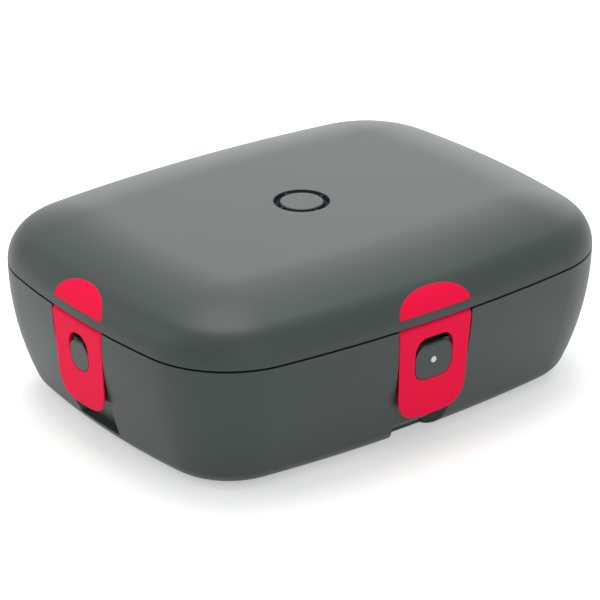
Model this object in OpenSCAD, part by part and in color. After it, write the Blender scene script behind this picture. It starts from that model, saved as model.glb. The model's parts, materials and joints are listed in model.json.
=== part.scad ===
// Electric lunch box: a heated base, a lift-off lid held by four flap latches, a steel dish with its own cover.
// Origin at the middle of the footprint on the table, X along the long side, front latch towards -Y, Z up.

/* [Body] */
// Length at the seam between base and lid
body_l = 275; // [250:1:300]
// Width at the seam
body_w = 214.7; // [195:0.1:235]
// Height of the base shell, from its underside to the seam
base_h = 69; // [60:1:80]
// Gap between the table and the base shell, which the feet hold
stand_h = 2; // [1.5:0.5:4]
// Radius of the plan's four corners
corner_r = 50.54; // [46:0.01:60]
// Flatness of the long sides: a larger number is a flatter side
long_bulge = 16; // [12:1:24]
// Flatness of the short sides
short_bulge = 15; // [12:1:24]
// Angle that the side has leaned in by where it meets the foot curve
side_turn = 23.3; // [18:0.1:28]
// Radius of the foot curve
foot_r = 13.65; // [10:0.05:18]
// Wall of the base shell
wall = 2.5; // [2:0.1:3.2]
// Dark gap between base and lid
seam_gap = 1.1; // [0.4:0.1:1.2]

/* [Lid] */
// Radius of the lid's shoulder
lid_r = 19.75; // [16:0.05:24]
// Angle at which the shoulder passes into the crown
lid_turn = 66; // [60:1:70]
// Wall of the lid shell
lid_wall = 2.5; // [2:0.1:3.2]
// Height of the liner's ceiling over the seam
liner_rise = 14; // [12:0.5:15]
// Thickness of the liner
liner_t = 2; // [1.5:0.1:2.5]
// Width of the gasket
gasket_w = 3.6; // [3:0.1:5]
// Distance from the edge to the gasket
gasket_in = 11.2; // [11:0.1:12]

/* [Latches] */
// Width of a front or rear latch at its pin
latch_w = 44.8; // [36:0.1:50]
// Its width where its rounded end begins
latch_end_w = 42.2; // [34:0.1:48]
// Drop from the seam to its free end
latch_drop = 51.6; // [46:0.1:55]
// Drop from the seam to the start of its rounded end
latch_shoulder = 33; // [30:0.5:36]
// Width of its window
window_w = 23.4; // [20:0.1:26]
// Drop from the seam to its window's foot
window_foot = 31.4; // [28:0.1:33]
// Height of the red inlay over it
inlay_h = 10.8; // [9:0.1:12]
// Width of that inlay
inlay_w = 43.9; // [34:0.1:48]
// Thickness of every latch
latch_t = 1.6; // [1.2:0.1:3]
// Lean of a closed latch
latch_tilt = 3.5; // [2:0.1:5]
// Radius of the barrel at a latch's top
barrel_r = 2.5; // [2.2:0.1:2.8]
// Radius of the hinge pin
pin_r = 0.8; // [0.6:0.05:1]
// Distance of the hinge axis behind the body's face
pin_in = 2.8; // [2.6:0.1:3.2]
// Distance of the hinge axis under the seam
pin_drop = 2.6; // [2.6:0.05:3.2]
// Drop from the seam to the window's top
window_top = 8.3; // [7.5:0.1:10]
// Corner radius of the window
window_r = 7; // [5:0.1:9]
// Drop from the seam to the top of the catch inside the window
catch_top = 12.4; // [11.5:0.1:14]
// Gap round the catch
catch_gap = 0.35; // [0.3:0.05:0.6]
// Rounding of the catch's upper edge
catch_round = 1.6; // [0.5:0.1:1.8]
// Slope of the catch's underside and of the window's foot
cam_slope = 55; // [52:1:60]
// Height of an inlay's straight edge over the seam
inlay_z = 5; // [4.5:0.1:6]
// Thickness of an inlay
inlay_t = 1.2; // [0.8:0.1:1.4]
// Width of the finger scoop under each latch
scoop_w = 35; // [28:0.5:38]
// Depth of the finger scoop
scoop_t = 4; // [3:0.1:5]

/* [Latches of the short sides] */
// Width of a left or right latch at its pin
side_latch_w = 42.4; // [34:0.1:48]
// Its width where its rounded end begins
side_latch_end_w = 39.4; // [32:0.1:46]
// Drop from the seam to its free end
side_latch_drop = 47.6; // [42:0.1:52]
// Drop from the seam to the start of its rounded end
side_latch_shoulder = 29.5; // [27:0.5:33]
// Width of its window
side_window_w = 16; // [14.5:0.1:20]
// Drop from the seam to its window's foot
side_window_foot = 28.3; // [26:0.1:30]
// Height of the red inlay over it
side_inlay_h = 11.6; // [9:0.1:12.5]
// Width of that inlay
side_inlay_w = 40.6; // [32:0.1:46]

/* [Vent] */
// Diameter of the dark ring
vent_ring_d = 28.5; // [26:0.1:32]
// Diameter of the button inside it
vent_d = 22.2; // [18:0.1:24]
// Travel of the button
vent_travel = 2; // [1:0.1:2.5]

/* [Dish and heater] */
// Distance from the body's edge to the tub's wall
tub_in = 26.5; // [25:0.5:30]
// Wall of the tub
tub_t = 1.2; // [1:0.1:1.6]
// Corner radius of the tub
tub_r = 25; // [22:0.5:28]
// Height of the heater plate's face over the table
plate_z = 32.2; // [30:0.1:36]
// Thickness of the heater plate
plate_t = 4.2; // [3.5:0.1:5]
// Gap between dish and tub wall
dish_gap = 4; // [3:0.1:6]
// Wall of the dish
dish_t = 0.9; // [0.7:0.1:1.2]
// Radius at the foot of the dish
dish_foot_r = 7; // [5:0.5:9]
// Distance between the heating element's runs
run_pitch = 20; // [18:0.5:20]
// Radius of the heating element's tube
element_r = 1.6; // [1.2:0.1:2]

/* [Hidden] */
$fn = 64;
SIDE_STEPS = 360;
eps = 0.01;
air = 0.3;
seam_z = stand_h + base_h;
rim_z = seam_gap/2;

// Every arc of the plan gets its centre and radius at a round number, so that its neighbours meet it exactly.
function snap(v) = round(v*100)/100;
edge_r = snap(corner_r);
mid_x = body_l/2 - edge_r;
mid_y = body_w/2 - edge_r;
long_k = snap((mid_x - (mid_y - mid_x/long_bulge)/(1 - 1/(long_bulge*short_bulge))/short_bulge)/(2*long_bulge));
short_k = snap((mid_y - mid_x/long_bulge)/(1 - 1/(long_bulge*short_bulge))/(2*short_bulge));
corner_x = 2*long_bulge*long_k;
corner_y = 2*short_bulge*short_k;
long_c = (pow(long_bulge, 2) - 1)*long_k - corner_y;
long_r = (pow(long_bulge, 2) + 1)*long_k + edge_r;
short_c = (pow(short_bulge, 2) - 1)*short_k - corner_x;
short_r = (pow(short_bulge, 2) + 1)*short_k + edge_r;
half_w = long_r - long_c;
half_l = short_r - short_c;
long_half = 2*atan(1/long_bulge);
short_half = 2*atan(1/short_bulge);

// Width, end width, drop, shoulder, window width, window foot, inlay height and inlay width of a latch
LONG_LATCH = [latch_w, latch_end_w, latch_drop, latch_shoulder, window_w, window_foot, inlay_h, inlay_w];
SHORT_LATCH = [side_latch_w, side_latch_end_w, side_latch_drop, side_latch_shoulder, side_window_w, side_window_foot,
  side_inlay_h, side_inlay_w];

// name, turn about Z, distance from the middle to the face, plan radius of that side, latch
SIDES = [["front", 0, half_w, long_r, LONG_LATCH], ["right", 90, half_l, short_r, SHORT_LATCH],
  ["rear", 180, half_w, long_r, LONG_LATCH], ["left", -90, half_l, short_r, SHORT_LATCH]];
function top_w(s) = s[4][0];
function end_w(s) = s[4][1];
function free_end(s) = s[4][2];
function shoulder(s) = s[4][3];
function opening_w(s) = s[4][4];
function opening_foot(s) = s[4][5];
function inlay_rise(s) = s[4][6];
function inlay_span(s) = s[4][7];

function arc(c, r, a0, a1, steps) = [for (i = [0:steps]) c + r*[cos(a0 + (a1 - a0)*i/steps), sin(a0 + (a1 - a0)*i/steps)]];
function reversed(list) = [for (i = [len(list) - 1:-1:0]) list[i]];
function side_arcs(c, r, a0, a1, steps) = [for (i = [0:steps - 1]) c + r*[cos(a0 + (a1 - a0)*i/steps), sin(a0 + (a1 - a0)*i/steps)]];

// Outline of the body in plan, moved in from its edge
function oval(inset) = concat(
  side_arcs([0, long_c], long_r - inset, -90 - long_half, -90 + long_half, 10),
  side_arcs([corner_x, -corner_y], edge_r - inset, -90 + long_half, -short_half, 12),
  side_arcs([-short_c, 0], short_r - inset, -short_half, short_half, 8),
  side_arcs([corner_x, corner_y], edge_r - inset, short_half, 90 - long_half, 12),
  side_arcs([0, -long_c], long_r - inset, 90 - long_half, 90 + long_half, 10),
  side_arcs([-corner_x, corner_y], edge_r - inset, 90 + long_half, 180 - short_half, 12),
  side_arcs([short_c, 0], short_r - inset, 180 - short_half, 180 + short_half, 8),
  side_arcs([-corner_x, -corner_y], edge_r - inset, 180 + short_half, 270 - long_half, 12));

// Rounded rectangle as an outline
function rounded(x0, x1, y0, y1, r) = concat(
  arc([x1 - r, y0 + r], r, -90, 0, 8), arc([x1 - r, y1 - r], r, 0, 90, 8),
  arc([x0 + r, y1 - r], r, 90, 180, 8), arc([x0 + r, y0 + r], r, 180, 270, 8));

module plate(inset, z0, z1) translate([0, 0, z0]) linear_extrude(z1 - z0) polygon(oval(inset));

module slab(hx, hy, r, z0, z1) translate([0, 0, z0]) linear_extrude(z1 - z0) {
  square([2*(hx - r), 2*hy], center = true);
  square([2*hx, 2*(hy - r)], center = true);
  for (sx = [-1, 1], sy = [-1, 1]) translate([sx*(hx - r), sy*(hy - r)]) circle(r);
}

// Carries a section round the body: x is 0 at the edge and negative inwards, y is the height over the seam
module around() {
  corner = [corner_x, -corner_y];
  long_out = corner + [2*long_bulge, 1 - pow(long_bulge, 2)]*long_k/2;
  short_out = corner + [pow(short_bulge, 2) - 1, -2*short_bulge]*short_k/2;
  flip = [[-1, 0], [0, 1]];
  translate([0, 0, seam_z]) for (turn = [0, 180]) rotate(turn) {
    intersection() {
      translate([0, long_c]) rotate_extrude($fn = SIDE_STEPS) translate([long_r, 0]) children();
      sector([flip*corner, corner, long_out, flip*long_out]);
    }
    intersection() {
      translate([-short_c, 0]) rotate_extrude($fn = SIDE_STEPS) translate([short_r, 0]) children();
      sector([corner, short_out, -(flip*short_out), -(flip*corner)]);
    }
    for (m = [0, 1]) mirror([m, 0]) intersection() {
      translate(corner) rotate_extrude() translate([edge_r, 0]) children();
      sector([corner, long_out, [short_out[0], long_out[1]], short_out]);
    }
  }
}

module sector(points) translate([0, 0, -base_h - eps]) linear_extrude(base_h + 60) polygon(points);

// Carries a section round a straight-sided rounded rectangle, as around() does
module frame(hx, hy, r) {
  cx = snap(hx - r);
  cy = snap(hy - r);
  for (sx = [0, 1], sy = [0, 1]) mirror([sx, 0]) mirror([0, sy])
    translate([cx, cy]) rotate_extrude(angle = 90) translate([r, 0]) children();
  for (turn = [0, 180]) rotate(turn) {
    translate([cx, 0]) rotate([90, 0, 0]) linear_extrude(2*cy, center = true) translate([r, 0]) children();
    translate([0, cy]) rotate([90, 0, 90]) linear_extrude(2*cx, center = true) translate([r, 0]) children();
  }
}

// ---- Curves of the shells, in the section's own coordinates
side_r = (base_h - foot_r)/sin(side_turn) + foot_r;
foot_c = (side_r - foot_r)*[cos(side_turn), -sin(side_turn)] - [side_r, 0];
function face_in(drop) = side_r - sqrt(pow(side_r, 2) - pow(drop, 2));
function base_curve(inset, drop) = concat(
  arc([-side_r, 0], side_r - inset, -asin(drop/(side_r - inset)), -side_turn, 8),
  arc(foot_c, foot_r - inset, -side_turn - 6, -90, 6));

flat_in = edge_r - 0.6;
dome_r = lid_r + (flat_in - lid_r)/cos(lid_turn);
dome_c = (lid_r - dome_r)*[cos(lid_turn), sin(lid_turn)] - [lid_r, 0];
crown_h = dome_c[1] + dome_r;
function lid_curve(inset, rise) = concat(
  arc([-lid_r, 0], lid_r - inset, asin(rise/(lid_r - inset)), lid_turn, 9),
  arc(dome_c, dome_r - inset, lid_turn + 4, 90, 6));

// ---- Places on the latches, in the latch's frame: origin on the face at the seam, -Y outwards
module at_side(s) rotate(s[1]) translate([0, -s[2], seam_z]) children();
module at_pin() translate([0, pin_in, -pin_drop]) children();
module bar(width, points) rotate([90, 0, 90]) linear_extrude(width, center = true) polygon(points);
module side_band(s, width, points, mid = 0) intersection() {
  translate([0, s[3], 0]) rotate_extrude($fn = SIDE_STEPS) translate([s[3], 0]) polygon(points);
  translate([mid - width/2, -5, -base_h - 5]) cube([width, 60, base_h + crown_h + 10]);
}
function rounded_end(half, h, power, a0, a1, step) = [for (a = [a0:step:a1])
  [sign(cos(a))*half*pow(abs(cos(a)), 2/power), h*pow(sin(a), 2/power)]];
function latch_outline(s) = concat(
  [[-top_w(s)/2, 0], [-end_w(s)/2, pin_drop - shoulder(s)]],
  [for (p = rounded_end(end_w(s)/2, free_end(s) - shoulder(s), end_power, 175, 5, -5)) [p[0], pin_drop - shoulder(s) - p[1]]],
  [[end_w(s)/2, pin_drop - shoulder(s)], [top_w(s)/2, 0]]);
end_power = 3.2;
inlay_power = 2.3;
ear_x = 13;
ear_w = 4.4;
ear_r = 1.7;
ear_back = 7.7;
function pin_l(s) = top_w(s) - 2;
run_gap = 0.4;
side_gap = 0.5;
floor_y = latch_t - barrel_r + run_gap;
block_in = 10.4;
block_rim = 4;

shell_c = "#59625F";
red_c = "#E4264A";
steel_c = "#C9CCCE";
black_c = "#26282A";

// ---- Base shell
cover_in = 32;
cover_t = 2.2;
ledge_in = 38;
rim_in = 10.6;
tub_ledge_in = 14.5;
flange_drop = 3.75;
ledge_t = 2.2;
ledge_foot = flange_drop + ledge_t + tub_ledge_in - wall - 0.6;
base_section = concat(
  base_curve(0, rim_z),
  [[-cover_in, -base_h], [-cover_in, -base_h + cover_t], [-ledge_in, -base_h + cover_t],
    [-ledge_in, -base_h + cover_t + wall], [-cover_in + wall, -base_h + cover_t + wall],
    [-cover_in + wall + cover_t, -base_h + wall]],
  reversed(base_curve(wall, ledge_foot)),
  [[-tub_ledge_in, -flange_drop - ledge_t], [-tub_ledge_in, -flange_drop], [-rim_in, -flange_drop], [-rim_in, -rim_z]]);

floor_meet = -acos(floor_y/(barrel_r + run_gap)) + latch_tilt;
function leaned(p) = [p[0]*cos(latch_tilt) - p[1]*sin(latch_tilt), p[0]*sin(latch_tilt) + p[1]*cos(latch_tilt)];
function from_pin(points) = [for (p = points) [-pin_in - p[0], p[1] - pin_drop]];
recess_section = from_pin(concat([[-pin_in - 4, 7], [barrel_r + run_gap, 7]],
  arc([0, 0], barrel_r + run_gap, 0, floor_meet, 8), [leaned([floor_y, -latch_drop - 4]), [-pin_in - 4, -latch_drop - 4]]));
// The recess narrows as the flap does
module recess_prism(s) translate([0, 40, 0]) rotate([90, 0, 0]) linear_extrude(60) polygon([
  for (p = [[top_w(s), 12], [top_w(s), -pin_drop], [end_w(s), -shoulder(s)], [end_w(s), -base_h - 5]]) [p[0]/2 + side_gap, p[1]],
  for (p = [[end_w(s), -base_h - 5], [end_w(s), -shoulder(s)], [top_w(s), -pin_drop], [top_w(s), 12]]) [-p[0]/2 - side_gap, p[1]]]);

// Slot over the catch, which takes the hook of a finger or a lever
hook_side = 1;
hook_d = 4.6;
hook_section = [[floor_y - 1.5, pin_drop - window_top], [floor_y + hook_d, pin_drop - window_top],
  [floor_y + hook_d, pin_drop - catch_top - hook_d], [floor_y + 0.5, pin_drop - catch_top], [floor_y - 1.5, pin_drop - catch_top]];

pocket_foot = pin_drop + ear_r + 0.6;
pocket_section = [[pin_in - 1, 6], [pin_in - 1, -pocket_foot], [ear_back + 0.6, -pocket_foot], [ear_back + 0.6, 6]];
block_top = 1;
block_foot = 57;
block_section = concat(
  arc([-side_r, 0], side_r - wall/2, -asin(block_top/side_r), -asin(block_foot/side_r), 6),
  [[-block_in - 5, -block_foot], [-block_in, -block_foot + 21], [-block_in, -block_top]]);

// On the long sides the scoop runs through the foot curve, on the short ones it ends above it
function side_curve(inset, drop) = arc([-side_r, 0], side_r - inset, -asin(drop/(side_r - inset)), -side_turn, 8);
function scoop_section(s) = s[4] == LONG_LATCH
  ? concat(base_curve(-2, free_end(s) - 8), reversed(base_curve(scoop_t, free_end(s) - 8)))
  : concat(side_curve(-2, free_end(s) - 8), reversed(side_curve(scoop_t, free_end(s) - 8)));
scoop_flare = 2.5;
scoop_end = 24;
module scoop_prism() translate([0, 0, -base_h - 10]) linear_extrude(base_h + 20) polygon([
  [-scoop_w/2 - scoop_flare, -5], [scoop_w/2 + scoop_flare, -5], [scoop_w/2 + scoop_flare, 6],
  [scoop_w/2 - 6, scoop_end], [scoop_w/2 - 6, 50], [6 - scoop_w/2, 50], [6 - scoop_w/2, scoop_end], [-scoop_w/2 - scoop_flare, 6]]);
function band(t0, t1, drop) = concat(base_curve(t0, drop), reversed(base_curve(t1, drop)));

function window_outline(s, gap, top) = rounded(-opening_w(s)/2 + gap, opening_w(s)/2 - gap,
  pin_drop - opening_foot(s) + gap, pin_drop - top, window_r - gap);

// The window's outline carried through the latch: straight, and once more along the cam slope, down and inwards
module window_form(s, gap, top, y0, y1) {
  rotate([90, 0, 0]) translate([0, 0, -y1]) linear_extrude(y1 - y0) polygon(window_outline(s, gap, top));
  intersection() {
    translate([0, -barrel_r, 0]) rotate([-cam_slope, 0, 0]) rotate([90, 0, 0])
      translate([0, 0, -2*(y1 + barrel_r)]) linear_extrude(4*(y1 + barrel_r))
      polygon([for (p = window_outline(s, gap, top)) [p[0], p[1]*sin(90 - cam_slope)]]);
    translate([-window_w, y0, -latch_drop]) cube([2*window_w, y1 - y0, latch_drop - top]);
  }
}

catch_y = 0.2 - barrel_r;
module catch(s) intersection() {
  window_form(s, catch_gap, catch_top, catch_y, floor_y + 1);
  bar(opening_w(s), concat([[catch_y, -latch_drop], [floor_y + 2, -latch_drop], [floor_y + 2, pin_drop - catch_top]],
    arc([catch_y + catch_round, pin_drop - catch_top - catch_round], catch_round, 90, 180, 6)));
}

screw_in = 7.2;
function side_screw(x) = [x, -(sqrt(pow(long_r - screw_in, 2) - pow(x, 2)) - long_c)];
corner_screw = [corner_x, -corner_y] + (edge_r - screw_in)*[cos(45), -sin(45)];
lid_screw_x = 58;
lid_screw_at = concat([for (sx = [-1, 1], sy = [-1, 1]) [sx*corner_screw[0], sy*corner_screw[1]]],
  [for (sx = [-1, 1], sy = [-1, 1]) [sx*lid_screw_x, sy*side_screw(lid_screw_x)[1]]]);

cover_hole_in = 35;
cover_hole = [corner_x, -corner_y] + (edge_r - cover_hole_in)*[cos(45), -sin(45)];
cover_hole_at = concat([for (sx = [-1, 1], sy = [-1, 1]) [sx*cover_hole[0], sy*cover_hole[1]]],
  [for (sy = [-1, 1]) [0, sy*(half_w - cover_hole_in)]]);

inlet_x = 52;
inlet_z = 42;
inlet_w = 30;
inlet_h = 18;
inlet_r = 3;
inlet_edge = inlet_x + inlet_w/2;
inlet_face = sqrt(pow(long_r, 2) - pow(inlet_edge, 2)) - long_c - face_in(seam_z - inlet_z + inlet_h/2) - 0.6;
inlet_d = 13;
inlet_rim = 3;
led_z = seam_z - 21.6;
led_r = 1.7;

module base_shell() color(shell_c) {
  difference() {
    union() {
      around() polygon(base_section);
      for (s = SIDES) at_side(s) {
        side_band(s, top_w(s) + 2*block_rim, block_section);
        side_band(s, scoop_w + 2*scoop_flare + 2*wall, band(wall/2, scoop_t + wall, free_end(s) - 12));
      }
      for (p = cover_hole_at) translate([p[0], p[1], stand_h + cover_t + eps]) cylinder(r = 3.4, h = 10);
      intersection() {
        at_side(SIDES[2]) side_band(SIDES[2], inlet_w + 2*inlet_rim, band(wall/2, 14, latch_drop - 8), -inlet_x);
        translate([0, inlet_face - wall, inlet_z - inlet_h/2 - inlet_rim]) cube([half_l, 20, inlet_h + 2*inlet_rim]);
      }
      for (sx = [-1, 1]) translate([sx*8, -half_w + block_in - 1, led_z]) rotate([-90, 0, 0]) cylinder(r = 1.2, h = 4);
    }
    for (s = SIDES) at_side(s) {
      intersection() {
        side_band(s, top_w(s) + 2*side_gap, recess_section);
        recess_prism(s);
      }
      at_pin() rotate([latch_tilt, 0, 0]) bar(opening_w(s) - 2*hook_side, hook_section);
      for (sx = [-1, 1]) translate([sx*ear_x, 0, 0]) bar(ear_w + 2*side_gap, pocket_section);
      intersection() {
        side_band(s, scoop_w + 2*scoop_flare, scoop_section(s));
        scoop_prism();
      }
    }
    for (p = cover_hole_at) translate([p[0], p[1], 0]) cylinder(r = 1.1, h = 12);
    translate([inlet_x, half_w + 5, inlet_z]) rotate([90, 0, 0]) linear_extrude(half_w + 5 - inlet_face)
      polygon(rounded(-inlet_w/2, inlet_w/2, -inlet_h/2, inlet_h/2, inlet_r));
    translate([inlet_x, inlet_face, inlet_z]) cube([22, 12, 13], center = true);
    for (sx = [-1, 1]) translate([inlet_x + sx*13, inlet_face - 8, inlet_z]) rotate([-90, 0, 0]) cylinder(r = 0.9, h = 10);
    light_hole(0);
  }
  difference() {
    for (s = SIDES) at_side(s) at_pin() rotate([latch_tilt, 0, 0]) catch(s);
    light_hole(0);
  }
}

module light_hole(grow) translate([0, -half_w - 5, led_z]) rotate([-90, 0, 0]) {
  cylinder(r = led_r + grow, h = block_in + 10);
  translate([0, 0, block_in + 2.2]) cylinder(r = led_r + 1 + grow, h = 6);
}

// ---- Pieces under and inside the base
module bottom_cover() color(shell_c) difference() {
  union() {
    plate(cover_in + air, stand_h, stand_h + cover_t);
    for (p = board_hole_at) translate([p[0], p[1], stand_h + cover_t - eps]) cylinder(r = 3, h = board_z - stand_h - cover_t + eps);
  }
  for (p = cover_hole_at) translate([p[0], p[1], 0]) {
    cylinder(r = 1.7, h = 20);
    cylinder(r = 3, h = stand_h + 1.2);
  }
  for (p = board_hole_at) translate([p[0], p[1], stand_h + cover_t]) cylinder(r = 1.1, h = 20);
  for (sx = [-1, 1], sy = [-1, 1]) translate([sx*foot_x, sy*foot_y, 0]) cylinder(r = foot_pad_r + 0.1, h = stand_h + 0.8);
  for (i = [-4:4]) translate([vent_slot_x, i*5, stand_h - 1]) linear_extrude(6) polygon(rounded(-14, 14, -1, 1, 0.9));
}

vent_slot_x = -60;
foot_x = corner_x + 2.5;
foot_y = corner_y + 4.4;
foot_pad_r = 7;
module rubber_feet() color(black_c) for (sx = [-1, 1], sy = [-1, 1]) translate([sx*foot_x, sy*foot_y, 0]) rotate_extrude()
  polygon([[0, 0], [foot_pad_r - 1, 0], [foot_pad_r, 1], [foot_pad_r, stand_h + 0.8], [0, stand_h + 0.8]]);

module screw(head_r, head_h, shank_r, shank_h) {
  difference() {
    cylinder(r = head_r, h = head_h);
    for (turn = [0, 90]) rotate(turn) translate([-head_r*0.6, -0.4, -eps]) cube([head_r*1.2, 0.8, head_h*0.6]);
  }
  translate([0, 0, head_h - eps]) cylinder(r = shank_r, h = shank_h + eps);
}

module bottom_screws() color(steel_c) for (p = cover_hole_at) translate([p[0], p[1], stand_h + 0.2]) screw(2.8, 1, 1.1, 8);

tub_z = plate_z - plate_t + 1.8;
tub_hx = half_l - tub_in;
tub_hy = half_w - tub_in;
plate_hx = tub_hx - 15;
plate_hy = tub_hy - 15;
plate_r = 12;
plate_flange = 4;
stud_x = plate_hx + 8;
stud_y = plate_hy + 8;
shield_z = plate_z - 12.3;
shield_t = 0.8;
stud_at = [for (sx = [-1, 1], sy = [-1, 1]) [sx*(stud_x - 10), sy*stud_y]];

module inner_tub() color(steel_c) {
  difference() {
    union() {
      difference() {
        plate(rim_in + air, seam_z - flange_drop, seam_z - flange_drop + tub_t);
        slab(tub_hx - tub_t, tub_hy - tub_t, tub_r - tub_t, tub_z, seam_z);
      }
      difference() {
        slab(tub_hx, tub_hy, tub_r, tub_z, seam_z - flange_drop + tub_t);
        slab(tub_hx - tub_t, tub_hy - tub_t, tub_r - tub_t, tub_z + tub_t, seam_z);
      }
    }
    slab(plate_hx + air, plate_hy + air, plate_r + air, tub_z - 1, tub_z + 5);
  }
  for (p = stud_at) translate([p[0], p[1], shield_z - 3]) cylinder(r = 1.5, h = tub_z - shield_z + 3 + eps);
}

module shield_nuts() color(steel_c) for (p = stud_at) translate([p[0], p[1], shield_z - 2.4]) difference() {
  cylinder(r = 3.2, h = 2.4, $fn = 6);
  translate([0, 0, -1]) cylinder(r = 1.55, h = 5);
}

module heater_plate() color("#B9BDBF") {
  slab(plate_hx + plate_flange, plate_hy + plate_flange, plate_r + plate_flange, tub_z + tub_t, plate_z);
  slab(plate_hx, plate_hy, plate_r, plate_z - plate_t, tub_z + tub_t + eps);
}

element_z = plate_z - plate_t - element_r - 0.05;
run_x = 74;
RUNS = 6;
module heating_element() color("#8A8D90") {
  for (i = [0:RUNS - 1]) translate([0, (i - (RUNS - 1)/2)*run_pitch, element_z]) rotate([0, 90, 0])
    cylinder(r = element_r, h = 2*run_x, center = true);
  for (i = [0:RUNS - 2]) translate([(i % 2 == 0 ? 1 : -1)*run_x, (i + 1 - RUNS/2)*run_pitch, element_z])
    rotate(i % 2 == 0 ? -90 : 90) rotate_extrude(angle = 180) translate([run_pitch/2, 0]) circle(element_r);
}

clamp_x = 48;
clamp_w = 9;
clamp_t = 0.7;
clamp_y = (RUNS - 1)/2*run_pitch + element_r + 3;
clamp_z = element_z - element_r - 0.1 - clamp_t;
module element_clamps() color(steel_c) for (sx = [-1, 1]) translate([sx*clamp_x, 0, 0]) {
  translate([-clamp_w/2, -clamp_y, clamp_z]) cube([clamp_w, 2*clamp_y, clamp_t]);
  for (sy = [-1, 1]) translate([-clamp_w/2, sy*clamp_y - clamp_t/2, clamp_z])
    cube([clamp_w, clamp_t, plate_z - plate_t - clamp_z]);
}

module thermostat() color("#D8D3C4") translate([0, 0, plate_z - plate_t - 3.4]) {
  cylinder(r = 6.5, h = 3.4);
  for (sx = [-1, 1]) translate([sx*8 - 3, -1.5, 1]) cube([6, 3, 0.8]);
}

module thermal_fuse() color("#D9B25A") translate([20, 0, plate_z - plate_t - 2.1]) rotate([0, 90, 0]) {
  cylinder(r = 2, h = 11);
  translate([0, 0, -4]) cylinder(r = 0.5, h = 19);
}

pad_z = shield_z + shield_t;
pad_t = clamp_z - pad_z - air;
module insulation_pad() color("#E5DFCB") slab(plate_hx, plate_hy, plate_r, pad_z, pad_z + pad_t);

module heat_shield() color(steel_c) difference() {
  union() {
    slab(plate_hx + 1, plate_hy + 1, plate_r + 1, shield_z, shield_z + shield_t);
    for (p = stud_at) translate([p[0] - 6, p[1] > 0 ? plate_hy - 2 : -stud_y, shield_z]) cube([12, stud_y - plate_hy + 2, shield_t]);
    for (p = stud_at) translate([p[0], p[1], shield_z]) cylinder(r = 6, h = shield_t);
  }
  for (p = stud_at) translate([p[0], p[1], 0]) cylinder(r = 1.7, h = 60);
}

board_z = 9;
board_t = 1.6;
board_x = 45;
board_y = 32;
board_hole_at = [for (sx = [-1, 1], sy = [-1, 1]) [sx*(board_x - 5), sy*(board_y - 5)]];
module control_board() color("#2E6B45") difference() {
  translate([0, 0, board_z]) linear_extrude(board_t) polygon(rounded(-board_x, board_x, -board_y, board_y, 2));
  for (p = board_hole_at) translate([p[0], p[1], 0]) cylinder(r = 1.6, h = 40);
}

part_z = board_z + board_t;
module board_parts() color(black_c) {
  translate([12, 6, part_z]) linear_extrude(8) polygon(rounded(0, 19, 0, 15, 1));
  translate([-10, -18, part_z]) linear_extrude(1.6) square([10, 10]);
  translate([-34, -8, part_z]) linear_extrude(7) polygon(rounded(0, 16, 0, 12, 1));
  for (i = [0:2]) translate([14 + 9*i, -20, part_z]) cylinder(r = 3.5, h = 8);
  for (y = [-1, 1]) translate([-44 + eps, y*14 - 5, part_z]) linear_extrude(7.5) square([7, 10]);
}

module board_screws() color(steel_c) for (p = board_hole_at) translate([p[0], p[1], part_z + 1.2]) mirror([0, 0, 1])
  screw(2.6, 1.2, 1.1, 5);

// ---- Power inlet: a two-pin socket in the rear wall
pin_gap = 8.6;
module inlet_outline(r) {
  for (sx = [-1, 1]) translate([sx*pin_gap/2, 0]) circle(r);
  square([pin_gap, 2*r - 1.6], center = true);
}
module power_inlet() color(black_c) translate([inlet_x, inlet_face, inlet_z]) difference() {
  union() {
    translate([0, 2, 0]) rotate([90, 0, 0]) linear_extrude(1.95)
      polygon(rounded(0.2 - inlet_w/2, inlet_w/2 - 0.2, 0.2 - inlet_h/2, inlet_h/2 - 0.2, inlet_r - 0.2));
    translate([-10.8, -inlet_d, -6.3]) cube([21.6, inlet_d + 0.1, 12.6]);
  }
  translate([0, 20, 0]) rotate([90, 0, 0]) linear_extrude(20 + inlet_d - 2) inlet_outline(4.6);
  for (sx = [-1, 1]) translate([sx*13, -1, 0]) rotate([-90, 0, 0]) cylinder(r = 1.2, h = 10);
  for (sx = [-1, 1]) translate([sx*pin_gap/2, -inlet_d - 5, 0]) rotate([-90, 0, 0]) cylinder(r = 1.2, h = 20);
}
module inlet_pins() color(steel_c) for (sx = [-1, 1]) translate([inlet_x + sx*pin_gap/2, inlet_face - inlet_d - 3, inlet_z])
  rotate([-90, 0, 0]) cylinder(r = 1.18, h = inlet_d + 1);
module inlet_screws() color(steel_c) for (sx = [-1, 1]) translate([inlet_x + sx*13, inlet_face + 3.1, inlet_z])
  rotate([90, 0, 0]) screw(2, 1, 0.9, 6);

// ---- Status light in the front catch
light_face = 1.65;
module light_pipe() color("#E8EDE8") translate([0, -half_w + light_face, led_z]) rotate([-90, 0, 0]) {
  cylinder(r = led_r - 0.1, h = block_in - 2.6 - light_face);
  translate([0, 0, block_in - 2.7 - light_face]) cylinder(r = led_r + 0.85, h = 0.8);
}
module led_board() color("#2E6B45") {
  difference() {
    translate([-11, -half_w + block_in + 0.2, led_z - 6]) cube([22, 1.6, 12]);
    for (sx = [-1, 1]) translate([sx*8, -half_w, led_z]) rotate([-90, 0, 0]) cylinder(r = 1.4, h = 30);
  }
  translate([0, -half_w + block_in - 1.85, led_z]) rotate([-90, 0, 0]) cylinder(r = 1.5, h = 2.1);
}

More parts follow.
